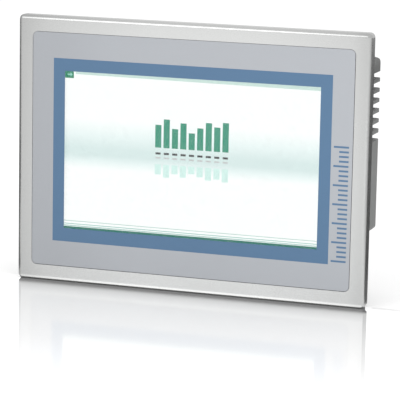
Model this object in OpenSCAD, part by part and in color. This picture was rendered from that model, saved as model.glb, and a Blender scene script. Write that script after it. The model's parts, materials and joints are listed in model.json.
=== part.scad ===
// Panel-mounted operator panel with a 7 inch touch display.
// X runs to the right and Z up as seen from the front, and Y into the panel.
// The origin is the centre of the mounting plane, where the gasket meets the panel.

/* [Front frame] */
// Width of the front frame
frame_w = 212; // [211:0.5:220]
// Height of the front frame
frame_h = 156; // [155:0.5:164]
// Depth of the front frame in front of the mounting plane
frame_t = 8; // [6:0.25:9]
// Radius of the frame's four corners, seen from the front
frame_corner_r = 2.75; // [2.75:0.25:5]
// Radius of the frame's rounded front edges
frame_edge_r = 2.5; // [1:0.25:2.5]
// How far the gasket stands proud of the frame's rear face
gasket_proud = 0.6; // [0.4:0.1:1]
// Width of the gasket cord
gasket_w = 3.2; // [2.4:0.2:3.2]

/* [Foil and window] */
// Width of the decor foil
foil_w = 193.5; // [190:0.1:195]
// Height of the decor foil
foil_h = 137.1; // [134:0.1:138]
// Thickness of the decor foil
foil_t = 0.4; // [0.3:0.05:0.5]
// Depth of the foil's face below the frame's face
foil_sunk = 0.2; // [0.1:0.05:0.4]
// Width of the coloured border round the window
border_w = 168; // [166:0.1:170]
// Height of the coloured border round the window
border_h = 107.6; // [105:0.1:110]
// Sideways offset of the coloured border from the frame's centre
border_x = 0.25; // [0:0.05:1]
// Width of the window
window_w = 154.2; // [152:0.1:156]
// Height of the window
window_h = 92.4; // [91:0.1:94]
// Sideways offset of the window's centre from the frame's centre
window_x = 0.3; // [0:0.05:1]
// Upward offset of the window's centre from the frame's centre
window_z = 0.3; // [0:0.05:0.7]

/* [Display] */
// Thickness of the touch sensor's glass
touch_t = 1.9; // [1.5:0.1:2]
// Width of the display module
lcd_w = 165; // [164:0.5:166]
// Height of the display module
lcd_h = 104; // [103.5:0.5:105]
// Thickness of the display module
lcd_t = 5.5; // [5.3:0.1:5.7]

/* [Rear housing] */
// Width of the housing behind the panel
housing_w = 198; // [198:0.5:200]
// Height of the shallow part that passes through the cut-out
housing_h = 142; // [142:0.5:144]
// Depth of the housing behind the mounting plane
housing_d = 41; // [41:0.5:50]
// Depth of the shallow part behind the mounting plane
ledge_d = 14; // [13.5:0.25:15]
// Height of the deep part's top above the centre
deep_top = 59.6; // [59:0.1:61]
// Depth of the deep part's underside below the centre
deep_low = 41.2; // [41:0.1:42]
// Thickness of the housing's walls
wall = 2.5; // [2:0.1:2.8]
// Radius of the housing's corners
housing_corner_r = 4; // [3:0.5:5]
// Radius of the housing's rear edges
housing_edge_r = 3; // [1.5:0.25:3.5]

/* [Vents] */
// Number of vent slots on each side
vent_count = 7; // [3:1:7]
// Width of a vent slot
vent_w = 3.9; // [2:0.1:4.4]
// Distance from one vent slot to the next
vent_pitch = 5.9; // [5.5:0.1:6]
// Height of the top slot's upper edge above the centre
vent_top = 51.6; // [48:0.1:53]
// Depth behind the mounting plane at which the slots begin
vent_from = 19.5; // [19:0.5:28]
// How far the slots run onto the rear face
vent_wrap = 16; // [10:0.5:30]

/* [Clamping jacks] */
// Sideways distance of the jacks from the centre
jack_x = 62; // [50:0.5:66]
// Height of the jacks above and below the centre
jack_z = 65.5; // [65.5:0.1:66]
// Radius swept by a jack's spiral wing
jack_reach = 11.8; // [11:0.1:11.8]
// Angle covered by a jack's spiral wing
jack_span = 180; // [120:10:190]
// Thinnest panel that the jacks clamp
panel_min = 1.6; // [1.5:0.1:3]
// Thickest panel that the jacks clamp
panel_max = 6.4; // [5:0.1:7]

/* [Boards and connectors] */
// Depth of the main board's front face behind the mounting plane
board_y = 18; // [17.5:0.5:19]
// Thickness of the main board
board_t = 1.6; // [1.2:0.2:1.6]
// Travel of the power plug until it is clear of its header
plug_travel = 12; // [9:1:30]

/* [Hidden] */
$fn = 48;

// Depths of the layers, from the front face to the back of the housing
frame_front = -frame_t;
frame_back = -gasket_proud;
foil_front = frame_front + foil_sunk;
foil_back = foil_front + foil_t;
touch_back = foil_back + touch_t;
foam_t = 0.6;
touch_margin = 10;
lcd_front = touch_back + foam_t;
lcd_back = lcd_front + lcd_t;
bezel_t = 0.5;
cell_back = lcd_front + bezel_t + 1.2;
films_back = cell_back + 0.4;
tray_t = 0.8;
bracket_front = lcd_back + 0.4;
bracket_back = bracket_front + 1.2;
board_back = board_y + board_t;
gasket_front = frame_back - 2.4;
gasket_inset = 1.2;
groove_gap = 0.1;
deep_floor = wall - deep_low;
past = 1;

// Places, as [x, z]
window_at = [window_x, window_z];
border_at = [border_x, 0];
jack_at = [[-jack_x, jack_z], [jack_x, jack_z], [-jack_x, -jack_z], [jack_x, -jack_z]];
housing_bolts = [for (x = [-91, 0, 91], s = [-1, 1]) [x, s * 64.5]];
bracket_bolts = [for (s = [-1, 1], t = [-1, 1]) [s * 90.5, t * 36]];
board_bolts = [[-84, 48], [0, 48], [84, 48], [-84, -5], [0, -18], [84, -5]];
earth_at = [-84, -56];
washer_t = 0.8;
type_at = [0, 6];
type_w = 80;
type_h = 44;
cell_at = [72, 34];
tail_x = -20;
flex_x = 30;

// Connectors along the underside, from left to right
power_x = -83;
serial_at = [-54, -18];
usb_device_x = 10;
usb_host_x = 28;
ethernet_x = 50;
card_x = 80;
connector_y = board_back + 6.4;
serial_pin_pitch = 2.77;
serial_lock_x = 12.5;
pole_pitch = 5.08;
plug_y = 25;
plug_top = -deep_low - 0.4;
plug_low = plug_top - 13;
clamp_y = 24;
clamp_z = plug_low + 5.4;
card_y = board_back + 2;

// Fits
running_gap = 0.05;
seat_gap = 0.2;
jack_shaft_r = 2.5;
jack_bay_r = jack_reach + 0.4;
jack_bay_back = ledge_d - 3.4;

// A flat outline drawn in X and Z, carried between two depths
module along_y(y0, y1) {
    translate([0, y1, 0]) rotate([90, 0, 0]) linear_extrude(y1 - y0) children();
}

// A flat outline drawn in Y and Z, carried from x0 to x1
module along_x(x0, x1) {
    translate([x0, 0, 0]) rotate([90, 0, 90]) linear_extrude(x1 - x0) children();
}

// A flat outline drawn in X and Y, carried from z0 to z1
module along_z(z0, z1) {
    translate([0, 0, z0]) linear_extrude(z1 - z0) children();
}

module block(low, high) {
    translate(low) cube(high - low);
}

// Round bar along Y at a place [x, z]
module rod_y(at, r, y0, y1) {
    translate([at[0], y1, at[1]]) rotate([90, 0, 0]) cylinder(r = r, h = y1 - y0);
}

// Round bar along Z at x, y
module rod_z(x, y, r, z0, z1) {
    translate([x, y, z0]) cylinder(r = r, h = z1 - z0);
}

module rect(w, h, at = [0, 0]) {
    translate(at) square([w, h], center = true);
}

module round_rect(w, h, r, at = [0, 0]) {
    translate(at) {
        square([w - 2 * r, h], center = true);
        square([w, h - 2 * r], center = true);
        for (s = [-1, 1], t = [-1, 1])
            translate([s * (w / 2 - r), t * (h / 2 - r)]) circle(r);
    }
}

// Bar outline between two depths whose end at y_soft has rounded corners
module eased_outline(w, y_soft, y_hard, r) {
    s = sign(y_hard - y_soft);
    y_round = y_soft + s * r;
    translate([(y_round + y_hard) / 2, 0]) square([abs(y_hard - y_round), w], center = true);
    translate([(y_soft + y_hard) / 2, 0])
        square([abs(y_hard - y_soft), w - 2 * r], center = true);
    for (t = [-1, 1])
        translate([y_round, t * (w / 2 - r)]) circle(r);
}

// Box with rounded corners, whose edges round the face at y_soft are rounded too
module eased_box(w, h, z_mid, corner_r, edge_r, y_soft, y_hard) {
    intersection() {
        along_y(min(y_soft, y_hard), max(y_soft, y_hard))
            round_rect(w, h, corner_r, [0, z_mid]);
        along_x(-w / 2 - past, w / 2 + past)
            translate([0, z_mid]) eased_outline(h, y_soft, y_hard, edge_r);
        along_z(z_mid - h / 2 - past, z_mid + h / 2 + past)
            mirror([1, -1]) eased_outline(w, y_soft, y_hard, edge_r);
    }
}

// Pan-head screw along Y: shank from y0 to its head's seat, and a slotted head behind it
module pan_screw(at, shank_r, y0, seat, head_r, head_t) {
    difference() {
        union() {
            rod_y(at, shank_r, y0, seat + head_t / 2);
            rod_y(at, head_r, seat, seat + head_t);
        }
        translate([at[0] - head_r - past, seat + 0.5 * head_t, at[1] - 0.18 * head_r])
            cube([2 * head_r + 2 * past, head_t, 0.36 * head_r]);
    }
}

// Outline of the frame drawn in from its edge on all sides
module frame_inset(inset, r) {
    round_rect(frame_w - 2 * inset, frame_h - 2 * inset, r);
}

module front_frame() {
    color("silver") difference() {
        union() {
            eased_box(frame_w, frame_h, 0, frame_corner_r, frame_edge_r, frame_front,
                frame_back);
            for (at = bracket_bolts)
                rod_y(at, 3.4, frame_back - past, bracket_front);
        }
        along_y(frame_front - past, foil_back)
            round_rect(foil_w + 2 * seat_gap, foil_h + 2 * seat_gap, 3);
        along_y(frame_front - past, frame_back + past)
            rect(window_w + touch_margin + 0.8, window_h + touch_margin + 0.8, window_at);
        along_y(touch_back - seat_gap, frame_back + past)
            round_rect(lcd_w + 4, lcd_h + 3, 1, window_at);
        along_y(gasket_front, frame_back + past) difference() {
            frame_inset(gasket_inset - groove_gap, frame_corner_r - groove_gap);
            frame_inset(gasket_inset + gasket_w + groove_gap, 2);
        }
        for (at = jack_at)
            rod_y(at, jack_shaft_r + running_gap, frame_back - 2.6, frame_back + past);
        for (at = housing_bolts)
            rod_y(at, 1.5, frame_back - 3.6, frame_back + past);
        for (at = bracket_bolts)
            rod_y(at, 1.25, frame_back - 3, bracket_front + past);
    }
}

module mounting_gasket() {
    color("dimgray") along_y(gasket_front, 0) difference() {
        frame_inset(gasket_inset, frame_corner_r - 2 * groove_gap);
        frame_inset(gasket_inset + gasket_w, 2 + groove_gap);
    }
}

module decor_foil() {
    color("lightsteelblue") along_y(foil_front, foil_back) difference() {
        round_rect(foil_w, foil_h, 2.8);
        rect(border_w, border_h, border_at);
    }
}

module window_border() {
    color("steelblue") along_y(foil_front, foil_back) difference() {
        rect(border_w, border_h, border_at);
        rect(window_w, window_h, window_at);
    }
}

module touch_film() {
    color("azure") along_y(foil_front, foil_back) rect(window_w, window_h, window_at);
}

module touch_glass() {
    color("lightcyan") along_y(foil_back, touch_back)
        round_rect(window_w + touch_margin, window_h + touch_margin, 1, window_at);
}

// Ribbon 0.3 thick that follows straight runs in Y and Z, given as its corner points
module ribbon(x_mid, w, path, t = 0.3) {
    along_x(x_mid - w / 2, x_mid + w / 2)
        for (i = [0 : len(path) - 2]) {
            low = [min(path[i][0], path[i + 1][0]), min(path[i][1], path[i + 1][1])];
            high = [max(path[i][0], path[i + 1][0]), max(path[i][1], path[i + 1][1])];
            translate(low) square(high - low + [t, t]);
        }
}

module touch_tail() {
    color("orange") ribbon(tail_x, 14, [[touch_back, -48.6], [touch_back, -52.9],
        [9, -52.9], [9, -30], [board_y - 3.9, -30]]);
}

module touch_foam() {
    color("black") along_y(touch_back, lcd_front) difference() {
        rect(window_w + 9.6, window_h + 9.4, window_at);
        rect(window_w + 5, window_h + 5, window_at);
        translate([tail_x - 8, -60]) square([16, 20]);
    }
}

module lcd_bezel() {
    color("gainsboro") difference() {
        along_y(lcd_front, lcd_back) rect(lcd_w, lcd_h, window_at);
        along_y(lcd_front - past, lcd_back) rect(window_w + 4, window_h + 4, window_at);
        along_y(lcd_front + bezel_t, lcd_back + past)
            rect(lcd_w - 2 * bezel_t, lcd_h - 2 * bezel_t, window_at);
    }
}

module lcd_glass() {
    color("white") along_y(lcd_front + bezel_t, cell_back)
        rect(lcd_w - 1.4, lcd_h - 1.4, window_at);
}

module diffuser_films() {
    color("ivory") along_y(cell_back, films_back)
        rect(lcd_w - 4, lcd_h - 4, window_at);
}

// The guide leaves a strip free along the lower edge for the lamps
module light_guide() {
    color("lightcyan") along_y(films_back, lcd_back - tray_t)
        rect(lcd_w - 5, lcd_h - 10, window_at + [0, 2.5]);
}

module led_strip() {
    guide_low = window_z + 2.5 - (lcd_h - 10) / 2;
    strip_y = films_back + 0.1;
    color("khaki") {
        block([window_x - 78, strip_y, guide_low - 3], [window_x + 78, strip_y + 2, guide_low - 2]);
        for (i = [-11 : 11])
            block([window_x + i * 6.6 - 1.8, strip_y + 0.3, guide_low - 2],
                [window_x + i * 6.6 + 1.8, strip_y + 1.7, guide_low - 0.2]);
    }
}

module lcd_tray() {
    color("silver") along_y(lcd_back - tray_t, lcd_back)
        rect(lcd_w - 1.4, lcd_h - 1.4, window_at);
}

module lcd_flex() {
    color("darkorange") ribbon(flex_x, 40, [[lcd_back, -51], [lcd_back, -44],
        [7.7, -44], [7.7, -30], [board_y - 3.9, -30]]);
}

// Sheet-steel carrier behind the display, with windows that save weight
module display_bracket() {
    color("lightgray") along_y(bracket_front, bracket_back) difference() {
        round_rect(189, 102, 3);
        for (s = [-1, 1])
            round_rect(62, 54, 5, [s * 42, 6]);
        round_rect(46, 14, 2, [flex_x, -45]);
        round_rect(18, 8, 2, [tail_x, -50]);
        for (at = bracket_bolts)
            translate(at) circle(1.5);
        for (at = board_bolts)
            translate(at) circle(1.3);
    }
}

module display_screws() {
    color("silver") for (at = bracket_bolts)
        pan_screw(at, 1.2, frame_back - 2.8, bracket_back, 2.4, 1.8);
}

module board_standoffs() {
    color("goldenrod") for (at = board_bolts) {
        difference() {
            rod_y_hex(at, 3.1, bracket_back, board_y);
            rod_y(at, 1.3, board_y - 7, board_y + past);
        }
        rod_y(at, 1.25, bracket_front, bracket_back);
    }
}

module rod_y_hex(at, r, y0, y1) {
    translate([at[0], y1, at[1]]) rotate([90, 0, 0]) cylinder(r = r, h = y1 - y0, $fn = 6);
}

module main_board() {
    color("darkgreen") along_y(board_y, board_back) difference() {
        translate([-94, -37.5]) square([188, 92]);
        for (at = board_bolts)
            translate(at) circle(1.6);
    }
}

module board_screws() {
    color("silver") for (at = board_bolts)
        pan_screw(at, 1.25, board_y - 5, board_back, 2.6, 1.9);
}

module processor() {
    color("dimgray") block([-22, board_back, 8], [4, board_back + 1.8, 34]);
}

module thermal_pad() {
    color("lightpink") block([-20, board_back + 1.8, 10], [2, board_back + 2.6, 32]);
}

module heat_sink() {
    base_y = board_back + 2.6;
    color("slategray") {
        block([-36, base_y, -4], [18, base_y + 2.4, 44]);
        for (i = [0 : 8])
            block([-36 + i * 6.6, base_y + 2, -4], [-34.8 + i * 6.6, base_y + 14, 44]);
    }
}

module memory_chips() {
    color("black") for (x = [28, 42], z = [2, 20])
        block([x, board_back, z], [x + 10, board_back + 1.1, z + 13]);
}

// Coils, capacitors and small circuits on the rear of the board
module board_components() {
    color("darkslategray") {
        for (x = [-86, -72])
            block([x, board_back, -21], [x + 11, board_back + 6, -10]);
        for (x = [-80, -68, -56])
            rod_y([x, 12], 4, board_back, board_back + 10);
        for (x = [-46, -16, 12, 31])
            block([x, board_back, -16], [x + 9, board_back + 1.6, -8]);
        block([44, board_back, -12], [60, board_back + 6, -3]);
        for (i = [0 : 5])
            block([62 + 4.4 * i, board_back, 14], [64 + 4.4 * i, board_back + 1.2, 17]);
    }
}

module cell_holder() {
    color("black") difference() {
        rod_y(cell_at, 12, board_back, board_back + 3.6);
        rod_y(cell_at, 10.2, board_back + 1, board_back + 5);
        block([cell_at[0] - 14, board_back + 1, cell_at[1] - 4],
            [cell_at[0] - 8, board_back + 5, cell_at[1] + 4]);
    }
}

module coin_cell() {
    color("silver") rod_y(cell_at, 10, board_back + 1, board_back + 4.2);
}

module buzzer() {
    color("black") difference() {
        rod_y([-66, 34], 6, board_back, board_back + 7.5);
        rod_y([-66, 34], 1, board_back + 4, board_back + 9);
    }
}

module flex_sockets() {
    color("ivory") {
        block([tail_x - 9, board_y - 3.6, -31.5], [tail_x + 9, board_y, -28]);
        block([flex_x - 22, board_y - 3.6, -31.5], [flex_x + 22, board_y, -28]);
    }
}

// Shrouded header that the power plug slides into from below
module power_header() {
    color("darkgreen") difference() {
        block([power_x - 8.4, board_back, -deep_low], [power_x + 8.4, board_back + 9.6, -29]);
        block([power_x - 7.6, board_back + 1, -deep_low - past],
            [power_x + 7.6, board_back + 8.8, -31]);
        for (i = [-1 : 1])
            block([power_x + i * pole_pitch - 0.5, plug_y - 1.5, -32],
                [power_x + i * pole_pitch + 0.5, plug_y - 0.5, -28]);
    }
}

module power_pins() {
    color("gold") for (i = [-1 : 1])
        block([power_x + i * pole_pitch - 0.5, plug_y - 1.5, -40],
            [power_x + i * pole_pitch + 0.5, plug_y - 0.5, -27]);
}

// Plug body: a nose in the header and, for each pole, a clamp chamber and a screw well
module power_plug() {
    color("green") difference() {
        union() {
            block([power_x - 7.3, board_back + 1.3, plug_top - past],
                [power_x + 7.3, board_back + 8.5, -31.5]);
            block([power_x - 8.2, board_back, plug_low], [power_x + 8.2, 31.6, plug_top]);
        }
        for (i = [-1 : 1]) {
            x = power_x + i * pole_pitch;
            block([x - 0.8, plug_y - 1.8, -43], [x + 0.8, plug_y - 0.2, -30]);
            block([x - 1.6, clamp_y - 1.9, plug_low - past], [x + 1.6, clamp_y + 1.5, -44]);
            block([x - 2.1, clamp_y - 2.8, plug_low + 3], [x + 2.1, clamp_y + 4.2, -45]);
            rod_y([x, clamp_z], 1.5, clamp_y + 4, 30);
            rod_y([x, clamp_z], 2.2, 29, 33);
        }
    }
}

// Rising clamp: a square ring that its screw pulls up round the wire
module wire_clamp(i) {
    x = power_x + i * pole_pitch;
    color("gold") difference() {
        block([x - 1.8, clamp_y - 2.5, clamp_z - 2], [x + 1.8, clamp_y + 2.3, clamp_z + 2]);
        block([x - 1.25, clamp_y - 1.8, clamp_z - 3], [x + 1.25, clamp_y + 1.4, clamp_z + 3]);
        rod_y([x, clamp_z], 1.1 + running_gap, clamp_y, clamp_y + 4);
    }
}

module plug_screw(i) {
    color("silver") pan_screw([power_x + i * pole_pitch, clamp_z], 1.1, clamp_y + 1.6, 29.3,
        1.9, 1.7);
}

// D-shaped outline of a nine-pole connector
module d_outline(w, h) {
    polygon([[-w / 2, h / 2], [w / 2, h / 2], [w / 2 - 1.4, -h / 2], [-w / 2 + 1.4, -h / 2]]);
}

module serial_shells() {
    color("silver") for (x = serial_at) difference() {
        union() {
            block([x - 15.4, board_back + 0.2, deep_floor], [x + 15.4, board_back + 12.6,
                deep_floor + 0.8]);
            along_z(deep_floor - 6.4, deep_floor) translate([x, connector_y]) d_outline(16.8, 8.2);
        }
        along_z(deep_floor - 7, deep_floor + past) translate([x, connector_y])
            d_outline(16, 7.4);
        for (s = [-1, 1])
            rod_z(x + s * serial_lock_x, connector_y, 1.6, deep_floor - past, deep_floor + 2);
    }
}

module serial_inserts() {
    color("darkblue") for (x = serial_at) difference() {
        union() {
            along_z(deep_floor - 6.2, deep_floor + 1) translate([x, connector_y])
                d_outline(16, 7.4);
            block([x - 9.6, board_back, deep_floor + 0.8], [x + 9.6, board_back + 11.6, -26]);
        }
        for (row = [0, 1], k = [0 : 4 - row])
            rod_z(x + (k - (4 - row) / 2) * serial_pin_pitch, connector_y + 1.42 - row * 2.84,
                0.6, deep_floor - 7, deep_floor - 1);
    }
}

module serial_nuts() {
    color("silver") for (x = serial_at, s = [-1, 1]) difference() {
        union() {
            translate([x + s * serial_lock_x, connector_y, -deep_low - 4.6])
                cylinder(r = 2.75, h = 4.6, $fn = 6);
            rod_z(x + s * serial_lock_x, connector_y, 1.5, -deep_low, deep_floor + 3);
        }
        rod_z(x + s * serial_lock_x, connector_y, 1.2, -deep_low - 5, -deep_low + 1.5);
    }
}

module usb_device_port() {
    x = usb_device_x;
    y = board_back;
    color("silver") {
        difference() {
            block([x - 6, y, -deep_low - 0.4], [x + 6, y + 10.8, -25]);
            block([x - 4.25, y + 1.5, -deep_low - past], [x + 4.25, y + 9.3, -32]);
        }
        block([x - 2.8, y + 3.8, -deep_low + 1], [x + 2.8, y + 7, -31]);
    }
}

module usb_host_port() {
    x = usb_host_x;
    y = board_back;
    color("silver") {
        difference() {
            block([x - 7.2, y, -deep_low - 0.4], [x + 7.2, y + 6.9, -24]);
            block([x - 6.3, y + 0.9, -deep_low - past], [x + 6.3, y + 6, -31]);
        }
        block([x - 5.7, y + 3.9, -deep_low + 1], [x + 5.7, y + 5.7, -30]);
    }
}

// Network socket with its latch notch towards the board
module ethernet_jack() {
    x = ethernet_x;
    y = board_back;
    color("silver") difference() {
        block([x - 8, y, -deep_low - 0.3], [x + 8, y + 13.4, -20]);
        block([x - 5.9, y + 4, -deep_low - past], [x + 5.9, y + 12, -28]);
        block([x - 3.1, y + 1.2, -deep_low - past], [x + 3.1, y + 5, -34]);
    }
}

module ethernet_contacts() {
    y = board_back + 12;
    color("gold") for (i = [0 : 7])
        block([ethernet_x - 3.8 + i * 1.02, y - 1.2, -deep_low + 3],
            [ethernet_x - 3.4 + i * 1.02, y, -28]);
}

module card_socket() {
    color("silver") difference() {
        block([card_x - 14, board_back, deep_floor + 0.3], [card_x + 14, board_back + 4, -9.5]);
        block([card_x - 12.3, card_y - 1.35, deep_floor - past],
            [card_x + 12.3, card_y + 1.35, -11.2]);
    }
}

// Memory card with one clipped corner, a little proud of the housing
module memory_card() {
    card_low = -deep_low - 2.6;
    color("midnightblue") translate([0, card_y + 1.05, 0]) rotate([90, 0, 0])
        linear_extrude(2.1) polygon([[card_x - 12, card_low], [card_x + 12, card_low],
            [card_x + 12, card_low + 28], [card_x + 8, card_low + 32],
            [card_x - 12, card_low + 32]]);
}

// Slot with a round inner end, drawn from a towards b and open at b
module slot_outline(a, b, w) {
    s = sign(b - a);
    round_at = a + s * w / 2;
    translate([round_at, 0]) circle(w / 2);
    translate([(round_at + b) / 2, 0]) square([abs(b - round_at), w], center = true);
}

// Vent slots that run along each side wall and round the corner onto the rear face
module vent_cutters() {
    for (i = [0 : vent_count - 1], s = [-1, 1]) {
        z = vent_top - vent_w / 2 - i * vent_pitch;
        inner = housing_w / 2 - wall - past;
        outer = housing_w / 2 + past;
        along_x(s > 0 ? inner : -outer, s > 0 ? outer : -inner)
            translate([0, z]) slot_outline(vent_from, housing_d + past, vent_w);
        along_y(housing_d - wall - past, housing_d + past)
            translate([0, z]) slot_outline(s * (housing_w / 2 - vent_wrap), s * outer, vent_w);
    }
}

// Openings in the underside for the connectors
module port_cutters() {
    low = -deep_low - past;
    high = deep_floor + past;
    block([power_x - 8.6, board_back - 0.2, low], [power_x + 8.6, board_back + 9.8, high]);
    for (x = serial_at) {
        along_z(low, high) translate([x, connector_y]) d_outline(17.4, 8.8);
        for (s = [-1, 1])
            rod_z(x + s * serial_lock_x, connector_y, 1.6, low, high);
    }
    block([usb_device_x - 6.2, board_back - 0.2, low],
        [usb_device_x + 6.2, board_back + 11, high]);
    block([usb_host_x - 7.4, board_back - 0.2, low], [usb_host_x + 7.4, board_back + 7.1, high]);
    block([ethernet_x - 8.2, board_back - 0.2, low],
        [ethernet_x + 8.2, board_back + 13.6, high]);
    block([card_x - 12.8, card_y - 1.8, low], [card_x + 12.8, card_y + 1.8, high]);
}

module rear_housing() {
    deep_h = deep_top + deep_low;
    deep_mid = (deep_top - deep_low) / 2;
    color("gray") difference() {
        union() {
            eased_box(housing_w, housing_h, 0, housing_corner_r, 2, ledge_d, frame_back);
            eased_box(housing_w, deep_h, deep_mid, housing_corner_r, housing_edge_r,
                housing_d, ledge_d - 5);
        }
        along_y(frame_back - past, ledge_d - wall) difference() {
            round_rect(housing_w - 2 * wall, housing_h - 2 * wall, 2);
            for (at = jack_at)
                translate(at) circle(jack_bay_r + 1.6);
            for (at = housing_bolts)
                translate(at) circle(5.6);
            translate(earth_at) circle(5);
        }
        along_y(ledge_d - wall - 0.1, housing_d - wall)
            round_rect(housing_w - 2 * wall, deep_h - 2 * wall, 2, [0, deep_mid]);
        along_y(frame_back - past, lcd_back + seat_gap)
            rect(lcd_w + 2 * seat_gap, lcd_h + 2 * seat_gap, window_at);
        for (at = jack_at) {
            rod_y(at, jack_bay_r, frame_back - past, jack_bay_back);
            rod_y(at, jack_shaft_r + running_gap, 0, ledge_d + past);
        }
        for (at = housing_bolts)
            rod_y(at, 1.7, frame_back - past, ledge_d + past);
        rod_y(earth_at, 2.05, 4, ledge_d + past);
        along_y(housing_d - 0.3, housing_d + past)
            round_rect(type_w + 2 * seat_gap, type_h + 2 * seat_gap, 2, type_at);
        vent_cutters();
        port_cutters();
    }
}

module housing_screws() {
    color("silver") for (at = housing_bolts)
        pan_screw(at, 1.45, frame_back - 3.4, ledge_d, 2.8, 2);
}

module earth_screw() {
    color("goldenrod") pan_screw(earth_at, 2, 5, ledge_d + washer_t, 3.8, 2.6);
}

module earth_washer() {
    color("silver") difference() {
        rod_y(earth_at, 4.4, ledge_d, ledge_d + washer_t);
        rod_y(earth_at, 2.1, ledge_d - past, ledge_d + 2);
    }
}

module type_plate() {
    color("whitesmoke") along_y(housing_d - 0.3, housing_d - 0.05)
        round_rect(type_w, type_h, 1.8, type_at);
}

// Spiral wing: a sector whose clamping face falls from the thickest to the thinnest panel
module spiral_wing(r_in, r_out, y_back, steps = 20) {
    function at(k, r, y) = [r * cos(k * jack_span / steps), y, r * sin(k * jack_span / steps)];
    function face(k) = panel_min + (panel_max - panel_min) * k / steps;
    pts = [for (k = [0 : steps]) each [at(k, r_in, face(k)), at(k, r_out, face(k)),
        at(k, r_out, y_back), at(k, r_in, y_back)]];
    walls = [for (k = [0 : steps - 1], e = [0 : 3])
        let (a = 4 * k + e, b = 4 * k + (e + 1) % 4) each [[b, a, b + 4], [b + 4, a, a + 4]]];
    last = 4 * steps;
    polyhedron(pts, concat([[0, 1, 2, 3]], walls, [[last + 3, last + 2, last + 1, last]]));
}

// Spiral of jack i at rest, folded away inside the housing's outline
module jack_spiral(i) {
    at = jack_at[i];
    turn = at[1] > 0 ? 180 : 0;
    color("darkgray") difference() {
        union() {
            rod_y(at, 4.6, panel_min - 0.8, jack_bay_back - 0.3);
            translate([at[0], 0, at[1]]) rotate([0, turn, 0])
                spiral_wing(3.6, jack_reach, jack_bay_back - 0.4);
        }
        rod_y(at, jack_shaft_r, 0, ledge_d);
    }
}

// Slotted jack screw: pivots in the frame and in the ledge, and turns the spiral
module jack_screw(i) {
    color("silver") pan_screw(jack_at[i], jack_shaft_r, frame_back - 2.4, ledge_d + 0.3, 4.2,
        2.8);
}

front_frame();
mounting_gasket();
decor_foil();
window_border();
touch_film();
touch_glass();
touch_tail();
touch_foam();
lcd_bezel();
lcd_glass();
diffuser_films();
light_guide();
led_strip();
lcd_tray();
lcd_flex();
display_bracket();
display_screws();
board_standoffs();
main_board();
board_screws();
processor();
thermal_pad();
heat_sink();
memory_chips();
board_components();
cell_holder();
coin_cell();
buzzer();
flex_sockets();
power_header();
power_pins();
power_plug();
plug_screw(-1);  // plug_screw_1
plug_screw(0);  // plug_screw_2
plug_screw(1);  // plug_screw_3
wire_clamp(-1);  // wire_clamp_1
wire_clamp(0);  // wire_clamp_2
wire_clamp(1);  // wire_clamp_3
serial_shells();
serial_inserts();
serial_nuts();
usb_device_port();
usb_host_port();
ethernet_jack();
ethernet_contacts();
card_socket();
memory_card();
rear_housing();
housing_screws();
earth_screw();
earth_washer();
type_plate();
jack_spiral(0);  // jack_spiral_1
jack_spiral(1);  // jack_spiral_2
jack_spiral(2);  // jack_spiral_3
jack_spiral(3);  // jack_spiral_4
jack_screw(0);  // jack_screw_1
jack_screw(1);  // jack_screw_2
jack_screw(2);  // jack_screw_3
jack_screw(3);  // jack_screw_4
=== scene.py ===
"""Looks for the panel-mounted touch display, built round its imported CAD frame. Metres, +Z up."""
import json
import math

import bmesh
import bpy
from mathutils import Matrix, Vector

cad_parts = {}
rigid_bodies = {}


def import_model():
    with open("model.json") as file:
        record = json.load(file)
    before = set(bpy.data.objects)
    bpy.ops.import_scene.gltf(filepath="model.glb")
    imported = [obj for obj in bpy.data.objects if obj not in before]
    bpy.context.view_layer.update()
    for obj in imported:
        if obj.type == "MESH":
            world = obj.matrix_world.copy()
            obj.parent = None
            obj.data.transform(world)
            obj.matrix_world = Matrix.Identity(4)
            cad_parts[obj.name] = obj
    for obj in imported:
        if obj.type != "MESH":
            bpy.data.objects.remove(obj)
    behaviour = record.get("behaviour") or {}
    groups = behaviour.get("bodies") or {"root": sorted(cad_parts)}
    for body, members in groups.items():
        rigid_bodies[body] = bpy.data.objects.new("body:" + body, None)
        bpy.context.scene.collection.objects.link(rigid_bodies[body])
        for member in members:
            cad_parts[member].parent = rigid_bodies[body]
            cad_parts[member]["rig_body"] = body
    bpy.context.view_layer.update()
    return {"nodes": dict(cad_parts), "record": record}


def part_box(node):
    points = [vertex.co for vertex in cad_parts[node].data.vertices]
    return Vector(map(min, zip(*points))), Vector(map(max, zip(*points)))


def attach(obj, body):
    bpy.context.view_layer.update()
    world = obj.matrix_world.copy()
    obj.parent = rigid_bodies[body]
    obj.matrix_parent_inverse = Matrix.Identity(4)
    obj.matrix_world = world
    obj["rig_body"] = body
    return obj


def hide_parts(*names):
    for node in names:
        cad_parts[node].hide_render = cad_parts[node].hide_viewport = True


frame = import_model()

MM = 0.001
NODES = frame["nodes"]

# ---------------------------------------------------------------- measures read from the frame

frame_low, frame_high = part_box("front_frame")
foil_low, foil_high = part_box("decor_foil")
window_low, window_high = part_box("touch_film")
lcd_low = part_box("lcd_glass")[0]
bezel_low, bezel_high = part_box("lcd_bezel")
gasket_low, gasket_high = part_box("mounting_gasket")
housing_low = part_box("rear_housing")[0]
label_low, label_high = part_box("type_plate")
network_low, network_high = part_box("ethernet_jack")

# front frame: radius of its corners, rounding of its front edges
FRAME_CORNER = 2.75 * MM
FRAME_EDGE = 2.5 * MM

# foil in its recess: radius of its corners, and the seam left round it
FOIL_CORNER = 3 * MM
RECESS_GAP = 0.24 * MM

# gasket in its groove: width of the ring, and its play on each side
GASKET_WIDTH = 3.2 * MM
GROOVE_GAP = 0.1 * MM

# the middle of a small rounded edge, as a part of the edge's width
ARC_MIDDLE = 0.3

# edges of swept rings stay sharp above this many degrees, and edges of eased pieces are
# rounded above this many
RING_SHARP = 35
EASED_SHARP = 40

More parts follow.
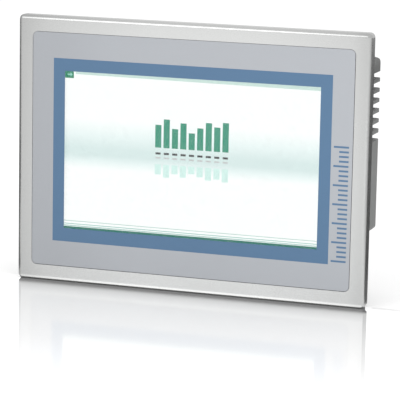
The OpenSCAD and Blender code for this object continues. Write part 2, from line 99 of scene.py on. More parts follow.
# cleaning of a CAD node's copy: points this close are joined, and faces that turn by less
# than this many degrees are one
WELD = 0.002 * MM
FLAT_WITHIN = 0.5

# thickness of a patch of the lit picture
INK_DEPTH = 0.04 * MM

# most of a noise lies between these
NOISE_LOW = 0.3
NOISE_HIGH = 0.7

# floor: height, reach from the middle, its own light
FLOOR_Z = frame_low.z
FLOOR_REACH = 8.0
FLOOR_GLOW = 0.25

# gloss of the floor: at the frame, how far it runs in front, and where it stops on the left
FLOOR_GLOSS = 0.5
GLOSS_REACH = 0.32
GLOSS_LEFT = -0.12

# darkening of the floor and of its two side lines, by the distance in mm from the frame
SHADE = [(0, 0.84), (5, 0.81), (8, 0.6), (11, 0.4), (15, 0.31), (22, 0.24), (32, 0.17),
         (70, 0.15), (130, 0.115), (180, 0.055), (230, 0)]
SIDE_SHADE = [(0, 0.45), (60, 0.3), (220, 0)]

# the shade's ends, outside the frame on the left and inside it on the right
SHADE_LEFT = frame_low.x - 2.2 * MM
SHADE_RIGHT = frame_high.x - 0.4 * MM

# the shade is this much narrower at the frame's rounded corners, and widens between these
# two distances in front of it
CORNER_GAP = 1.0 * MM
CORNER_NEAR = 0.5 * MM
CORNER_FAR = 4 * MM

# widths of the dark side lines, and how dark the left one is beside the right one
LEFT_LINE = 1.0 * MM
RIGHT_LINE = 2.2 * MM
LEFT_LINE_PART = 0.8

# where the bright card at the frame's foot gives way to the dark one, behind its front
FOOT_SPLIT = 0.5 * MM


# ---------------------------------------------------------------- materials

def new_material(name):
    """An empty node material, its Principled shader and its object coordinates."""
    mat = bpy.data.materials.new(name)
    mat.use_nodes = True
    shader = mat.node_tree.nodes["Principled BSDF"]
    coords = mat.node_tree.nodes.new("ShaderNodeTexCoord").outputs["Object"]
    return mat, mat.node_tree, shader, coords


def split_coords(tree, coords):
    """The X, Y and Z of a place, as separate outputs."""
    split = tree.nodes.new("ShaderNodeSeparateXYZ")
    tree.links.new(coords, split.inputs[0])
    return split.outputs


def math_node(tree, operation, *values):
    """The result of a Math node, fed by numbers and by other nodes' outputs."""
    node = tree.nodes.new("ShaderNodeMath")
    node.operation = operation
    for socket, value in zip(node.inputs, values):
        if isinstance(value, (int, float)):
            socket.default_value = value
        else:
            tree.links.new(value, socket)
    return node.outputs[0]


def set_sockets(shader, **sockets):
    """Sets a shader's sockets, named with _ for each space."""
    for socket, value in sockets.items():
        shader.inputs[socket.replace("_", " ")].default_value = value


def map_range(tree, value, low, high, to_low=0.0, to_high=1.0):
    """Maps low to high onto another range."""
    node = tree.nodes.new("ShaderNodeMapRange")
    node.inputs["From Min"].default_value = low
    node.inputs["From Max"].default_value = high
    node.inputs["To Min"].default_value = to_low
    node.inputs["To Max"].default_value = to_high
    tree.links.new(value, node.inputs["Value"])
    return node.outputs["Result"]


def noise(tree, coords, size, detail=3.0, stretch=(1, 1, 1)):
    """Noise whose lumps are about size metres across."""
    mapping = tree.nodes.new("ShaderNodeMapping")
    mapping.inputs["Scale"].default_value = [s / size for s in stretch]
    tree.links.new(coords, mapping.inputs["Vector"])
    node = tree.nodes.new("ShaderNodeTexNoise")
    node.inputs["Scale"].default_value = 1.0
    node.inputs["Detail"].default_value = detail
    tree.links.new(mapping.outputs["Vector"], node.inputs["Vector"])
    return node.outputs["Fac"]


def ramp(tree, factor, stops):
    """A colour ramp with [(place, colour), ...]."""
    node = tree.nodes.new("ShaderNodeValToRGB")
    elements = node.color_ramp.elements
    elements.remove(elements[1])
    elements[0].position, elements[0].color = stops[0][0], (*stops[0][1], 1)
    for place, colour in stops[1:]:
        elements.new(place).color = (*colour, 1)
    tree.links.new(factor, node.inputs["Fac"])
    return node.outputs["Color"]


def spread(tree, factor, low, high):
    """Maps most of a noise onto a range."""
    return map_range(tree, factor, NOISE_LOW, NOISE_HIGH, low, high)


def mottle(tree, factor, colour, vary):
    """A colour that a noise makes darker and lighter by a part of itself."""
    return ramp(tree, factor, [(NOISE_LOW, shade(colour, 1 - vary)),
                               (NOISE_HIGH, shade(colour, 1 + vary))])


def shade(colour, factor):
    """A colour made lighter or darker."""
    return tuple(min(1.0, c * factor) for c in colour)


def finish_material(name, colour, rough, metallic=0.0, vary=0.06, rough_vary=0.06, grain=0.8,
                    relief=0.02, blotch=18.0, stretch=(1, 1, 1), **sockets):
    """A surface whose colour, gloss and fine relief vary. grain, blotch and relief are in mm."""
    mat, tree, shader, coords = new_material(name)
    broad = noise(tree, coords, blotch * MM, 4.0)
    fine = noise(tree, coords, grain * MM, 2.0, stretch)
    both = math_node(tree, "MULTIPLY_ADD", broad, 0.5, math_node(tree, "MULTIPLY", fine, 0.5))
    tree.links.new(mottle(tree, both, colour, vary), shader.inputs["Base Color"])
    tree.links.new(spread(tree, both, rough - rough_vary, rough + rough_vary),
                   shader.inputs["Roughness"])
    bump = tree.nodes.new("ShaderNodeBump")
    bump.inputs["Strength"].default_value = 1.0
    bump.inputs["Distance"].default_value = relief * MM
    tree.links.new(fine, bump.inputs["Height"])
    tree.links.new(bump.outputs["Normal"], shader.inputs["Normal"])
    set_sockets(shader, Metallic=metallic, **sockets)
    return mat


def painted_light_along(mat, axis, stops):
    """Paints light and shade into a finish's colour along an axis, by scaling it: stops are
    [(place in mm, factor), ...].
    """
    tree = mat.node_tree
    shader = tree.nodes["Principled BSDF"]
    coords = tree.nodes.new("ShaderNodeTexCoord").outputs["Object"]
    low, high = stops[0][0], stops[-1][0]
    place = map_range(tree, split_coords(tree, coords)[axis], low * MM, high * MM)
    painted_light = ramp(tree, place, [((at - low) / (high - low), (factor,) * 3) for at, factor in stops])
    mix = tree.nodes.new("ShaderNodeMix")
    mix.data_type = "RGBA"
    mix.blend_type = "MULTIPLY"
    mix.inputs["Factor"].default_value = 1.0
    # a Mix node's colours are its inputs 6 and 7 and its output 2
    colour_a, colour_b, mixed = mix.inputs[6], mix.inputs[7], mix.outputs[2]
    tree.links.new(shader.inputs["Base Color"].links[0].from_socket, colour_a)
    tree.links.new(painted_light, colour_b)
    tree.links.new(mixed, shader.inputs["Base Color"])
    return mat


def clear_material(name, tint, rough, ior=1.46, **sockets):
    """Clear film or glass with faint unevenness in its gloss."""
    mat, tree, shader, coords = new_material(name)
    set_sockets(shader, Base_Color=(*tint, 1), IOR=ior, **sockets)
    tree.links.new(spread(tree, noise(tree, coords, 30 * MM), rough * 0.7, rough * 1.3),
                   shader.inputs["Roughness"])
    return mat


def lit_picture(name):
    """The display's lit face: white with a soft pale band across it."""
    mat, tree, shader, coords = new_material(name)
    height = map_range(tree, split_coords(tree, coords)["Z"], window_low.z, window_high.z)
    white, pale, mint = (1.0, 1.0, 1.0), (0.68, 0.80, 0.79), (0.84, 0.92, 0.915)

    def at(z):
        """A height in mm as a part of the window's height."""
        return (z * MM - window_low.z) / (window_high.z - window_low.z)

    colour = ramp(tree, height, [(at(-10), white), (at(-6), mint), (at(-2), pale), (at(2), pale),
                                 (at(10), mint), (at(19), white)])
    tree.links.new(colour, shader.inputs["Emission Color"])
    set_sockets(shader, Emission_Strength=1.0, Base_Color=(0.02, 0.02, 0.02, 1))
    tree.links.new(spread(tree, noise(tree, coords, 12 * MM), 0.25, 0.35),
                   shader.inputs["Roughness"])
    return mat


def lit_ink(name, colour):
    """A patch of the lit picture in one hue, a little uneven as pixels are."""
    mat, tree, shader, coords = new_material(name)
    grain = noise(tree, coords, 0.6 * MM, 1.0)
    tree.links.new(mottle(tree, grain, colour, 0.06), shader.inputs["Emission Color"])
    set_sockets(shader, Emission_Strength=1.0, Base_Color=(0.01, 0.01, 0.01, 1))
    return mat


# painted light and shade along an axis, as factors on a finish's colour by the place in mm: on
# the frame from left to right, a painted sheen across its middle and painted shade on its
# rounded ends; on the housing from bottom to top, painted shade towards the top; on the grey
# foil from left to right, painted shade towards the left
FRAME_PAINTED_SHEEN_AND_SHADE = [(-106, 0.55), (-105.2, 0.55), (-104.7, 0.46), (-104.2, 0.6), (-103.8, 0.71),
               (-102, 0.73), (-89, 0.84), (-69, 0.91), (-49, 0.955), (-20, 1.0), (45, 1.0),
               (70, 0.96), (95, 0.905), (102, 0.82), (103.6, 0.81), (104.6, 0.84),
               (105.4, 0.82), (106, 0.74)]
HOUSING_PAINTED_SHADE = [(-60, 1.0), (-20, 0.98), (20, 0.86), (38, 0.71), (52, 0.48)]
FOIL_PAINTED_SHADE = [(-97, 0.92), (-80, 0.93), (-45, 1.0), (97, 1.0)]

# one finish for each material slot of the record
FINISH = {
    # the frame's colour carries a painted sheen across its middle and painted shade at its ends
    "cast_frame": painted_light_along(
        finish_material("satin_frame", (0.65, 0.656, 0.65), 0.27, 1.0, 0.02, 0.03,
                        grain=0.5, relief=0.006, blotch=40), "X", FRAME_PAINTED_SHEEN_AND_SHADE),
    # the housing's colour carries painted shade, darker towards its top
    "cast_housing": painted_light_along(
        finish_material("textured_grey_paint", (0.225, 0.229, 0.226), 0.5, 0.0, 0.08, 0.08,
                        grain=0.9, relief=0.05), "Z", HOUSING_PAINTED_SHADE),
    # the foil's colour carries painted shade, darker towards its left
    "foil_grey": painted_light_along(
        finish_material("grey_foil", (0.37, 0.386, 0.412), 0.42, 0.0, 0.02, 0.04, grain=0.6,
                        relief=0.004, blotch=60), "X", FOIL_PAINTED_SHADE),
    "foil_blue": finish_material("blue_foil", (0.0745, 0.1545, 0.265), 0.42, 0.0, 0.03, 0.04,
                                 grain=0.6, relief=0.004, blotch=60),
    "clear_film": clear_material("clear_film", (0.5, 0.52, 0.52), 0.12, Alpha=0.03),
    "glass": clear_material("sensor_glass", (0.97, 1.0, 0.99), 0.01,
                            ior=1.25, Transmission_Weight=1.0),
    "screen": lit_picture("lit_picture"),
    "light_guide": finish_material("clear_acrylic", (0.82, 0.87, 0.88), 0.15, grain=4),
    "sheet_steel": finish_material("zinc_sheet", (0.62, 0.63, 0.64), 0.33, 1.0, 0.08, 0.08,
                                   grain=0.5, relief=0.006, stretch=(1, 1, 0.15)),
    "screw_steel": finish_material("zinc_screw", (0.60, 0.61, 0.62), 0.28, 1.0, 0.08, 0.08,
                                   grain=0.3, relief=0.006),
    "jack_zinc": finish_material("cast_zinc", (0.42, 0.43, 0.44), 0.42, 1.0, 0.10, 0.08,
                                 grain=0.7, relief=0.03),
    "brass": finish_material("plated_brass", (0.80, 0.60, 0.25), 0.28, 1.0, 0.08, 0.08,
                             grain=0.4, relief=0.005),
    "rubber_black": finish_material("black_foam_rubber", (0.025, 0.025, 0.026), 0.75,
                                    grain=0.5, relief=0.05, vary=0.2),
    "board_green": finish_material("green_board", (0.02, 0.13, 0.06), 0.35, vary=0.2, grain=1.2,
                                   relief=0.02, blotch=6),
    "chip_black": finish_material("black_epoxy", (0.03, 0.03, 0.032), 0.55, grain=0.4),
    "plastic_black": finish_material("black_plastic", (0.025, 0.025, 0.026), 0.45, grain=0.6),
    "plastic_green": finish_material("green_plastic", (0.04, 0.23, 0.09), 0.45, grain=0.6,
                                     relief=0.02),
    "plastic_ivory": finish_material("ivory_plastic", (0.72, 0.68, 0.55), 0.45, grain=0.6),
    "plastic_blue": finish_material("blue_plastic", (0.035, 0.07, 0.21), 0.42, grain=0.6,
                                    relief=0.015),
    "sink_aluminium": finish_material("drawn_aluminium", (0.50, 0.52, 0.54), 0.35, 1.0,
                                      grain=0.5, stretch=(1, 1, 0.1)),
    "pad_pink": finish_material("silicone_pad", (0.62, 0.36, 0.42), 0.7, grain=1.0),
    "polyimide": finish_material("flex_film", (0.45, 0.20, 0.04), 0.3, grain=1.5),
    "label_white": finish_material("blank_label", (0.74, 0.745, 0.73), 0.4, 0.0, 0.02, 0.05,
                                   grain=0.5, relief=0.003),
}


def dress(obj, mat):
    """Gives an object one material."""
    obj.data.materials.clear()
    obj.data.materials.append(mat)


slots = {part["node"]: part["material_slot"] for part in frame["record"]["subparts"]}
for node, obj in NODES.items():
    if not obj.material_slots:
        obj.data.materials.append(None)
    for place in obj.material_slots:
        place.material = FINISH[slots[node]]


# ---------------------------------------------------------------- pieces made from meshes

def new_object(name, data):
    """An object linked into the scene."""
    obj = bpy.data.objects.new(name, data)
    bpy.context.scene.collection.objects.link(obj)
    return obj


def new_mesh(name, bm):
    """A mesh made from a bmesh, which is freed."""
    mesh = bpy.data.meshes.new(name)
    bm.to_mesh(mesh)
    bm.free()
    return mesh


def add_piece(name, mesh, node, body=None):
    """Shows a mesh with a node's finish, riding on that node's body or on the one named."""
    piece = new_object(name, mesh)
    dress(piece, FINISH[slots[node]])
    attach(piece, body or NODES[node]["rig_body"])
    return piece


def smooth_below(mesh, degrees):
    """Shades a mesh smooth, except across edges that turn by more than this."""
    for face in mesh.polygons:
        face.use_smooth = True
    mesh.set_sharp_from_angle(angle=math.radians(degrees))


def eased(node, width):
    """Replaces a CAD node by a copy whose sharp edges are rounded by width mm."""
    mesh = NODES[node].data.copy()
    bm = bmesh.new()
    bm.from_mesh(mesh)
    bmesh.ops.remove_doubles(bm, verts=bm.verts, dist=WELD)
    bmesh.ops.dissolve_limit(bm, angle_limit=math.radians(FLAT_WITHIN), verts=bm.verts,
                             edges=bm.edges)
    bm.to_mesh(mesh)
    bm.free()
    piece = add_piece(node + "_eased", mesh, node)
    bevel = piece.modifiers.new("eased_edges", "BEVEL")
    bevel.width = width * MM
    bevel.segments = 2
    bevel.limit_method = "ANGLE"
    bevel.angle_limit = math.radians(EASED_SHARP)
    bevel.use_clamp_overlap = True
    bevel.harden_normals = True
    smooth_below(mesh, EASED_SHARP)
    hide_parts(node)


def flatten_shading(piece):
    """Keeps broad flats flat where they meet small rounded edges."""
    weigh = piece.modifiers.new("face_weights", "WEIGHTED_NORMAL")
    weigh.keep_sharp = True


def rounded_outline(width, height, radius, centre, steps=10):
    """Points (x, z) of a rounded rectangle: always the same number, so outlines can be joined."""
    points = []
    for side, level, start in ((1, 1, 0), (-1, 1, 90), (-1, -1, 180), (1, -1, 270)):
        for k in range(steps + 1):
            a = math.radians(start + 90 * k / steps)
            points.append((centre[0] + side * (width / 2 - radius) + radius * math.cos(a),
                           centre[1] + level * (height / 2 - radius) + radius * math.sin(a)))
    return points


def ring_mesh(name, loops):
    """A closed ring swept through outlines given as (points, y), the last joined to the first."""
    bm = bmesh.new()
    rows = [[bm.verts.new((x, y, z)) for x, z in points] for points, y in loops]
    count = len(rows[0])
    for row, after in zip(rows, rows[1:] + rows[:1]):
        for k in range(count):
            m = (k + 1) % count
            bm.faces.new((row[k], row[m], after[m], after[k]))
    bmesh.ops.recalc_face_normals(bm, faces=bm.faces)
    return new_mesh(name, bm)


def prism_mesh(name, outlines, y_front, y_back):
    """Flat closed solids between two depths, one for each outline of (x, z) points."""
    bm = bmesh.new()
    for outline in outlines:
        front = [bm.verts.new((x, y_front, z)) for x, z in outline]
        back = [bm.verts.new((x, y_back, z)) for x, z in outline]
        bm.faces.new(front)
        bm.faces.new(back[::-1])
        for k in range(len(outline)):
            m = (k + 1) % len(outline)
            bm.faces.new((front[k], back[k], back[m], front[m]))
    bmesh.ops.recalc_face_normals(bm, faces=bm.faces)
    return new_mesh(name, bm)


def bar(x0, x1, z0, z1):
    """The outline of a rectangle between two places given in mm."""
    return [(x0 * MM, z0 * MM), (x1 * MM, z0 * MM), (x1 * MM, z1 * MM), (x0 * MM, z1 * MM)]


def size_of(low, high):
    """Width, height and centre (x, z) of a box."""
    return high.x - low.x, high.z - low.z, ((low.x + high.x) / 2, (low.z + high.z) / 2)


def recess_middle(foil_mid):
    """The foil is laid a little to the left and high in its recess."""
    return foil_mid[0] + 0.11 * MM, foil_mid[1] - 0.03 * MM


def make_front_frame():
    """The metal frame as one swept ring: rounded front, foil recess, window, gasket groove."""
    w, h, mid = size_of(frame_low, frame_high)
    foil_w, foil_h, foil_mid = size_of(foil_low, foil_high)
    win_w, win_h, win_mid = size_of(window_low, window_high)
    lcd_w, lcd_h, lcd_mid = size_of(bezel_low, bezel_high)
    gas_w, gas_h, gas_mid = size_of(gasket_low, gasket_high)
    front, back = frame_low.y, housing_low.y
    floor = foil_high.y
    shelf = bezel_low.y - 0.8 * MM
    touch_room, touch_corner = 10.8 * MM, 0.3 * MM
    bezel_room_w, bezel_room_h, bezel_corner = 4 * MM, 3 * MM, 1 * MM
    gap, recess_ease, back_ease = RECESS_GAP, 0.12 * MM, 0.3 * MM
    least_corner = 0.6 * MM

    def outer(inset, y):
        return rounded_outline(w - 2 * inset, h - 2 * inset,
                               max(FRAME_CORNER - inset, least_corner), mid), y

    def recess(grow, y):
        return rounded_outline(foil_w + 2 * grow, foil_h + 2 * grow, FOIL_CORNER + grow,
                               recess_middle(foil_mid)), y

    # opening behind the window, from the back forwards
    bezel_opening = rounded_outline(lcd_w + bezel_room_w, lcd_h + bezel_room_h, bezel_corner,
                                    lcd_mid)
    touch_opening = rounded_outline(win_w + touch_room, win_h + touch_room, touch_corner,
                                    win_mid)
    loops = [(bezel_opening, back), (bezel_opening, shelf),
             (touch_opening, shelf), (touch_opening, floor)]

    # recess of the foil, with an eased rim
    rim = recess_ease * ARC_MIDDLE
    loops += [recess(gap, floor), recess(gap, front + recess_ease), recess(gap + rim, front + rim),
              recess(gap + recess_ease, front)]

    # rounded front edge, then the eased edge at the back
    arc_steps = 10
    for k in range(arc_steps + 1):
        a = math.radians(90 * k / arc_steps)
        loops.append(outer(FRAME_EDGE * (1 - math.sin(a)), front + FRAME_EDGE * (1 - math.cos(a))))
    heel = back_ease * ARC_MIDDLE
    loops += [outer(0, back - back_ease), outer(heel, back - heel), outer(back_ease, back)]

    # groove of the gasket
    across, inner_corner = GASKET_WIDTH + GROOVE_GAP, 2 * MM
    groove_outer = rounded_outline(gas_w + 2 * GROOVE_GAP, gas_h + 2 * GROOVE_GAP,
                                   FRAME_CORNER - GROOVE_GAP, gas_mid)
    groove_inner = rounded_outline(gas_w - 2 * across, gas_h - 2 * across, inner_corner, gas_mid)
    loops += [(groove_outer, back), (groove_outer, gasket_low.y),
              (groove_inner, gasket_low.y), (groove_inner, back)]
    mesh = ring_mesh("front_frame_ring", loops)
    smooth_below(mesh, RING_SHARP)
    ring = add_piece("front_frame_ring", mesh, "front_frame")
    flatten_shading(ring)
    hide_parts("front_frame")


def make_painted_seam_shade():
    """A dark ring in the seam between the foil and the wall of its recess: painted shade for the
    shadow in the gap.
    """
    w, h, mid = size_of(foil_low, foil_high)
    near, far = foil_high.y - 0.05 * MM, foil_high.y - 0.01 * MM
    play = 0.02 * MM
    spread_out = RECESS_GAP - play
    inner = rounded_outline(w + 2 * play, h + 2 * play, FOIL_CORNER, mid)
    outer = rounded_outline(w + 2 * spread_out, h + 2 * spread_out, FOIL_CORNER + RECESS_GAP,
                            recess_middle(mid))
    mesh = ring_mesh("foil_seam_painted_shade", [(inner, near), (inner, far), (outer, far), (outer, near)])
    dress(add_piece("foil_seam_painted_shade", mesh, "touch_foam", "panel"),
          finish_material("painted_seam_shade", (0.07, 0.07, 0.075), 0.7, grain=0.5))


def make_gasket():
    """The sealing ring, with its edges eased as moulded rubber has them."""
    w, h, mid = size_of(gasket_low, gasket_high)
    low, high, width, ease = gasket_low.y, gasket_high.y, GASKET_WIDTH, 0.5 * MM
    soft = ease * ARC_MIDDLE
    corner, corner_taper = FRAME_CORNER - 2 * GROOVE_GAP, 0.14
    section = [(ease, low), (0, low + ease), (0, high - ease), (soft, high - soft), (ease, high),
               (width - ease, high), (width - soft, high - soft), (width, high - ease),
               (width, low + ease), (width - ease, low)]
    loops = [(rounded_outline(w - 2 * inset, h - 2 * inset, corner - inset * corner_taper, mid), y)
             for inset, y in section]
    mesh = ring_mesh("gasket_ring", loops)
    smooth_below(mesh, RING_SHARP)
    ring = add_piece("gasket_ring", mesh, "mounting_gasket")
    flatten_shading(ring)
    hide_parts("mounting_gasket")


make_front_frame()
make_painted_seam_shade()
make_gasket()

# CAD nodes shown with rounded edges, and how wide the rounding is in mm
EASED = {"rear_housing": 0.35, "power_plug": 0.3, "power_header": 0.2, "serial_shells": 0.12,
         "serial_nuts": 0.15, "usb_device_port": 0.15, "usb_host_port": 0.15,
         "ethernet_jack": 0.2, "memory_card": 0.25, "housing_screws": 0.3, "earth_screw": 0.4,
         "earth_washer": 0.15}
EASED.update({f"jack_screw_{i}": 0.4 for i in range(1, 5)})
EASED.update({f"jack_spiral_{i}": 0.4 for i in range(1, 5)})
EASED.update({f"plug_screw_{i}": 0.2 for i in range(1, 4)})
for node, width in EASED.items():
    eased(node, width)


# ---------------------------------------------------------------- the lit picture and the prints

def add_print(name, outlines, mat, node, y_front, y_back):
    """A thin printed layer, fixed to the panel."""
    dress(add_piece(name, prism_mesh(name, outlines, y_front, y_back), node, "panel"), mat)


# colours of the lit picture
GREEN, KEY_GREEN, DARK_GREEN = (0.015, 0.275, 0.17), (0.01, 0.23, 0.115), (0.02, 0.18, 0.135)
PALE_GREEN, GHOST_GREEN = (0.60, 0.76, 0.71), (0.66, 0.88, 0.83)
LINE_GREEN, HAIR_GREEN, ARROW_GREEN = (0.30, 0.56, 0.50), (0.42, 0.6, 0.55), (0.27, 0.62, 0.52)
INK, GHOST_INK = (0.02, 0.022, 0.022), (0.55, 0.57, 0.57)


def on_screen(name, outlines, colour, layer=0):
    """A patch of the lit picture, in the layer against the display's glass or one before it."""
    back = lcd_low.y - layer * INK_DEPTH
    add_print(name, outlines, lit_ink(name, colour), "lcd_glass", back - INK_DEPTH, back)


def in_mm(points):
    """An outline whose points are given in mm."""
    return [(x * MM, z * MM) for x, z in points]


def make_picture():
    """Generic screen content: a bar chart with its mirror image, rules and a corner key.

    Places and sizes are in mm.
    """
    left, right = window_low.x / MM, window_high.x / MM
    low, high = window_low.z / MM, window_high.z / MM
    # the rules run on behind the window's border by this much
    spill = 1

    heights = [13.2, 16.6, 11.4, 15.0, 9.6, 12.8, 16.2, 14.0, 16.9]
    chart_left, pitch, width = -21.7, 5.1, 3.7
    foot, ghost_top, ghost_scale = 5.2, -4.5, 0.45
    starts = [chart_left + k * pitch for k in range(len(heights))]
    chart = [bar(x, x + width, foot, foot + h) for x, h in zip(starts, heights)]
    ghost = [bar(x, x + width, ghost_top - ghost_scale * h, ghost_top)
             for x, h in zip(starts, heights)]

    def ticks(z0, z1, inset=0.3):
        return [bar(x + inset, x + width - inset, z0, z1) for x in starts]

    on_screen("picture_chart", chart, GREEN)
    on_screen("picture_chart_ghost", ghost, GHOST_GREEN)
    on_screen("picture_ticks", ticks(1.2, 2.4), INK)
    on_screen("picture_ticks_ghost", ticks(-1.2, -0.3), GHOST_INK)

    # the top rule is a little deeper on the right
    rule_left = -71.2
    wedge = [(rule_left, high - 1.8), (right + spill, high - 2.6), (right + spill, high + spill),
             (rule_left, high + spill)]
    on_screen("picture_top_rule", [in_mm(wedge)], PALE_GREEN)
    on_screen("picture_key", [bar(left - spill, left + 4.4, high - 4.3, high + spill)], KEY_GREEN)
    tip = [(left + 3.7, high - 2.2), (left + 2.3, high - 0.8), (left + 2.3, high - 3.6)]
    stem = bar(left + 0.5, left + 2.3, high - 2.6, high - 1.8)
    on_screen("picture_arrow", [in_mm(tip), stem], ARROW_GREEN, layer=1)

    def across(z0, z1):
        return bar(left - spill, right + spill, low + z0, low + z1)

    on_screen("picture_low_rule", [across(-spill, 0.75)], DARK_GREEN)
    on_screen("picture_low_lines", [across(z, z + 0.45) for z in (1.05, 2.15)], LINE_GREEN)
    on_screen("picture_low_hair", [across(3.9, 4.3)], HAIR_GREEN)


def make_side_scale():
    """Printed scale on the foil, to the right of the window. Places are in mm."""
    low_z, high_z, marks = -51.7, 13.5, 25
    right, long_mark, short_mark, half_width = 94.6, 8.8, 5.6, 0.55
    marks_a_group = 4
    step = (high_z - low_z) / (marks - 1)
    outlines = []
    for k in range(marks):
        z = low_z + k * step
        length = short_mark if k % marks_a_group else long_mark
        outlines.append(bar(right - length, right, z - half_width, z + half_width))
    add_print("foil_scale", outlines, FINISH["foil_blue"], "window_border",
              foil_low.y - 0.02 * MM, foil_low.y)


def make_type_plate_print():
    """A blank form on the type plate: rules and plain blocks, nothing written.

    Places are in mm. Seen from behind, the plate's left is its high X.
    """
    margin, rule, rows = 2, 0.35, 6
    left, right = label_low.x / MM + margin, label_high.x / MM - margin
    low, high = label_low.z / MM + margin, label_high.z / MM - margin
    step = (high - low) / rows
    block_lengths, block_inset, block_low, block_high = (30, 22, 34, 26, 18), 3, 2.4, 4.2
    outlines = [bar(left, right, low + k * step - rule / 2, low + k * step + rule / 2)
                for k in range(rows + 1)]
    outlines += [bar(x - rule / 2, x + rule / 2, low, high) for x in (left, right)]
    outlines += [bar(right - block_inset - length, right - block_inset,
                     low + k * step + block_low, low + k * step + block_high)
                 for k, length in enumerate(block_lengths)]
    outlines.append(bar(left + 4, left + 20, high - step + 1.5, high - 1.5))
    add_print("type_plate_print", outlines, FINISH["plastic_black"], "type_plate",
              label_high.y + 0.005 * MM, label_high.y + 0.03 * MM)


def box_mesh(name, low, high):
    """A closed box between two corners."""
    bm = bmesh.new()
    middle = [(a + b) / 2 for a, b in zip(low, high)]
    spans = [b - a for a, b in zip(low, high)]
    bmesh.ops.create_cube(bm, size=1,
                          matrix=Matrix.Translation(middle) @ Matrix.Diagonal((*spans, 1)))
    return new_mesh(name, bm)


def make_network_lamps():
    """Two lamp windows in the rim of the network socket, facing down."""
    centre = (network_low.x + network_high.x) / 2
    apart, half_width = 6.95 * MM, 0.75 * MM
    front, back = network_low.y + 1.2 * MM, network_low.y + 3.6 * MM
    bottom, top = network_low.z - 0.08 * MM, network_low.z - 0.01 * MM
    for name, side, tint in (("link_lamp", -1, (0.10, 0.42, 0.14)),
                             ("traffic_lamp", 1, (0.65, 0.40, 0.06))):
        middle = centre + side * apart
        mesh = box_mesh(name, (middle - half_width, front, bottom),
                        (middle + half_width, back, top))
        dress(add_piece(name, mesh, "light_guide", "panel"),
              finish_material(name, tint, 0.25, grain=0.5))


make_picture()
make_side_scale()
make_type_plate_print()
make_network_lamps()


# ---------------------------------------------------------------- stage, light and camera

def camera_pose():
    """Where the camera stands: to the right, a little above, rolled very slightly."""
    azimuth, elevation, roll = math.radians(19.006), math.radians(10.28), math.radians(1.08)
    distance, aside, upward = 1.4048, 6.118 * MM, -23.35 * MM
    back = Vector((math.sin(azimuth) * math.cos(elevation),
                   -math.cos(azimuth) * math.cos(elevation), math.sin(elevation)))
    right = (-back).cross(Vector((0, 0, 1))).normalized()
    up = right.cross(-back)
    rolled_right = right * math.cos(roll) + up * math.sin(roll)
    rolled_up = up * math.cos(roll) - right * math.sin(roll)
    target = Vector((0.3 * MM, foil_low.y, 0.35 * MM))
    place = target + back * distance + rolled_right * aside + rolled_up * upward
    return place, Matrix((rolled_right, rolled_up, back)).transposed().to_4x4()


camera_place, camera_turn = camera_pose()


def flat_mesh(name, x0, x1, y0, y1, z):
    """A level rectangle."""
    bm = bmesh.new()
    bm.faces.new([bm.verts.new((x, y, z)) for x, y in ((x0, y0), (x1, y0), (x1, y1), (x0, y1))])
    return new_mesh(name, bm)


def hide_from(obj, *rays):
    """Keeps an object out of sight of the kinds of ray named."""
    for ray in rays:
        setattr(obj, "visible_" + ray, False)


def make_floor():
    """A white floor, glossy only where it mirrors the panel's front."""
    floor = new_object("floor", flat_mesh("floor", -FLOOR_REACH, FLOOR_REACH, -FLOOR_REACH,
                                          FLOOR_REACH, FLOOR_Z))
    mat, tree, shader, coords = new_material("white_floor")
    place = split_coords(tree, coords)
    front = math_node(tree, "MULTIPLY", place["Y"], -1)
    fade = map_range(tree, front, 0.0, GLOSS_REACH, FLOOR_GLOSS, 0.0)
    inside = math_node(tree, "MULTIPLY", math_node(tree, "GREATER_THAN", front, 0),
                       math_node(tree, "GREATER_THAN", place["X"], GLOSS_LEFT))
    tree.links.new(math_node(tree, "MULTIPLY", fade, inside),
                   shader.inputs["Specular IOR Level"])
    set_sockets(shader, Base_Color=(0.93, 0.93, 0.93, 1), Roughness=0.08,
                Emission_Color=(1, 1, 1, 1), Emission_Strength=FLOOR_GLOW)
    dress(floor, mat)


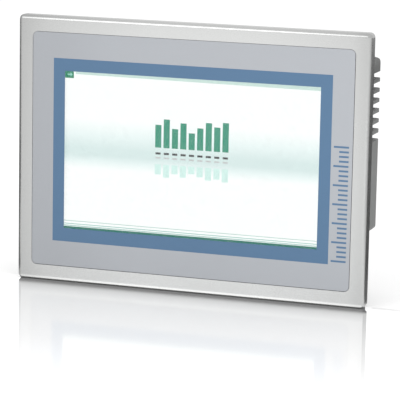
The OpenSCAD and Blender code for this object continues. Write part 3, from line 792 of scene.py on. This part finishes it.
def make_contact_shade():
    """The darkening of the floor in front of the frame, laid out for the scene's camera.

    It stands in for part of the frame's mirror image, so its ends run towards the camera.
    """
    reach = SHADE[-1][0] * MM

    def towards_camera(x, away):
        """The floor point met on leaving (x, 0) straight for the camera."""
        return x + (camera_place.x - x) * away / -camera_place.y

    bm = bmesh.new()
    left, right = SHADE_LEFT, SHADE_RIGHT
    near, far = CORNER_NEAR - frame_low.y, CORNER_FAR - frame_low.y
    depth = reach - frame_low.y
    outline = [(left + CORNER_GAP, 0), (left + CORNER_GAP, near), (left, far), (left, depth),
               (right, depth), (right, far), (right - CORNER_GAP, near), (right - CORNER_GAP, 0)]
    level = FLOOR_Z + 0.02 * MM
    bm.faces.new([bm.verts.new((towards_camera(x, away), -away, level)) for x, away in outline])
    sheet = new_object("contact_shade", new_mesh("contact_shade", bm))
    mat, tree, shader, coords = new_material("contact_shade")
    place = split_coords(tree, coords)
    away = math_node(tree, "MAXIMUM", math_node(tree, "SUBTRACT", frame_low.y, place["Y"]), 0)
    part = math_node(tree, "DIVIDE", away, reach)
    front = ramp(tree, part, [(x * MM / reach, (a,) * 3) for x, a in SHADE])
    side = ramp(tree, part, [(x * MM / reach, (a,) * 3) for x, a in SIDE_SHADE])

    def beyond(x, test):
        """1 past the line that leaves (x, 0) straight for the camera, 0 elsewhere."""
        slope = (camera_place.x - x) / -camera_place.y
        line = math_node(tree, "MULTIPLY_ADD", place["Y"], -slope, x)
        return math_node(tree, test, place["X"], line)

    at_side = math_node(tree, "MULTIPLY_ADD", beyond(left + LEFT_LINE, "LESS_THAN"),
                        LEFT_LINE_PART, beyond(right - RIGHT_LINE, "GREATER_THAN"))
    tree.links.new(math_node(tree, "MAXIMUM", front, math_node(tree, "MULTIPLY", side, at_side)),
                   shader.inputs["Alpha"])
    set_sockets(shader, Base_Color=(0, 0, 0, 1), Specular_IOR_Level=0.0)
    dress(sheet, mat)
    hide_from(sheet, "glossy", "diffuse", "shadow", "transmission")


def make_card(name, x0, x1, y0, y1, grey, glow=0.0, lift=1.0):
    """A card lying on the floor, seen only in reflections. lift is in mm."""
    card = new_object(name, flat_mesh(name, x0, x1, y0, y1, FLOOR_Z + lift * MM))
    mat, _, shader, _ = new_material(name)
    set_sockets(shader, Base_Color=(grey, grey, grey, 1), Roughness=1.0,
                Emission_Color=(1, 1, 1, 1), Emission_Strength=glow)
    dress(card, mat)
    hide_from(card, "camera", "diffuse", "shadow", "transmission")


def add_area(name, place, aim, width, depth, power):
    """A rectangular lamp aimed at a place."""
    light = bpy.data.lights.new(name, "AREA")
    light.shape = "RECTANGLE"
    light.size, light.size_y = width, depth
    light.energy = power
    lamp = new_object(name, light)
    lamp.location = place
    lamp.rotation_euler = (Vector(aim) - Vector(place)).to_track_quat("-Z", "Y").to_euler()
    return lamp


def make_light():
    """A white room, a large soft key from the left and a weak fill from the right."""
    world = bpy.data.worlds.new("studio")
    world.use_nodes = True
    background = world.node_tree.nodes["Background"]
    background.inputs["Color"].default_value = (1, 1, 1, 1)
    background.inputs["Strength"].default_value = 0.85
    bpy.context.scene.world = world
    add_area("key_softbox", place=(-0.53, -0.92, 0.62), aim=(0, 0, 0), width=0.9, depth=0.6,
             power=2.35)
    fill = add_area("right_softbox", place=(0.42, -0.42, 0.12), aim=(0, 0, 0), width=0.3,
                    depth=0.3, power=0.9)
    hide_from(fill, "glossy")


def make_camera():
    """The camera, at the place worked out above."""
    data = bpy.data.cameras.new("camera")
    data.sensor_width = 36
    data.lens = 221.3
    data.clip_end = 30
    camera = new_object("camera", data)
    camera.matrix_world = Matrix.Translation(camera_place) @ camera_turn
    bpy.context.scene.camera = camera


# cards beside the panel: their left, right, front and back edges in metres, and their grey
CARDS = {
    "flag_right": (0.112, 1.5, 0.06, 1.5, 0.09),
    "flag_front_right": (0.25, 1.5, -0.4, 0.06, 0.72),
    "flag_left": (-1.5, -0.3, -0.3, 1.5, 0.07),
    "flag_near_right": (0.108, 0.25, 0.0, 0.06, 0.2),
    "flag_near_left": (-0.3, -0.125, -0.04, 1.5, 0.25),
}


def make_cards():
    """Cards beside the panel, and a bright and a dark strip along the foot of its frame."""
    for name, (x0, x1, y0, y1, grey) in CARDS.items():
        make_card(name, x0, x1, y0, y1, grey)
    split, strip_lift = frame_low.y + FOOT_SPLIT, 0.05
    make_card("card_at_foot", frame_low.x, frame_high.x, frame_low.y - 6 * MM, split, 0.5,
              glow=1.05, lift=strip_lift)
    make_card("flag_at_foot", frame_low.x, frame_high.x, split, frame_low.y + 3 * MM, 0.32,
              lift=strip_lift)


make_floor()
make_contact_shade()
make_cards()
make_light()
make_camera()
bpy.context.scene.view_settings.view_transform = "Standard"
